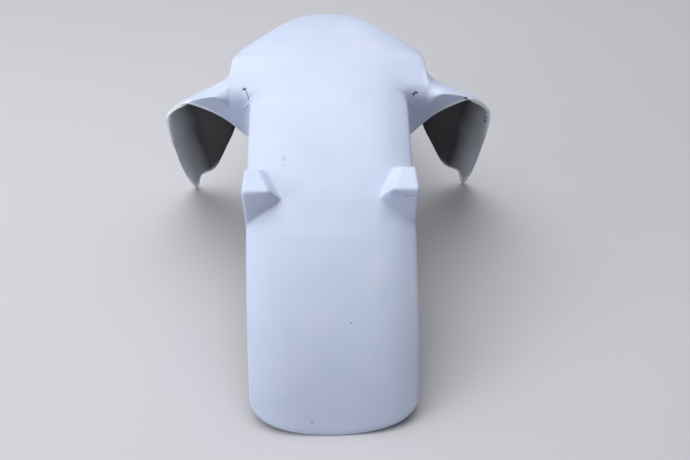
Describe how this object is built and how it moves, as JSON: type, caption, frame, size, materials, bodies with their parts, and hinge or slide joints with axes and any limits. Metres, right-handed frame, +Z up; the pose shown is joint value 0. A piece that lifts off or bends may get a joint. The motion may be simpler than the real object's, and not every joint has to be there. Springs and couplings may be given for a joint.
{
  "type": "motorcycle front fender",
  "caption": "Moulded front fender with an arched tyre cover, a wide front dome, winged fork guards and raised bolt pads, in bare primer.",
  "frame": {"origin": "centre of the footprint, on the plane that the rear end and the wing tips rest on", "axes": "+X across the bike, to the right in the picture, +Y forward in the direction of travel, +Z up"},
  "size_m": [0.3302, 0.5408, 0.2021],
  "materials": {
    "primed_plastic": "pale blue-grey primer outside, bare dark plastic inside"
  },
  "bodies": {
    "root": {"fender": "primed_plastic"}
  },
  "joints": []
}
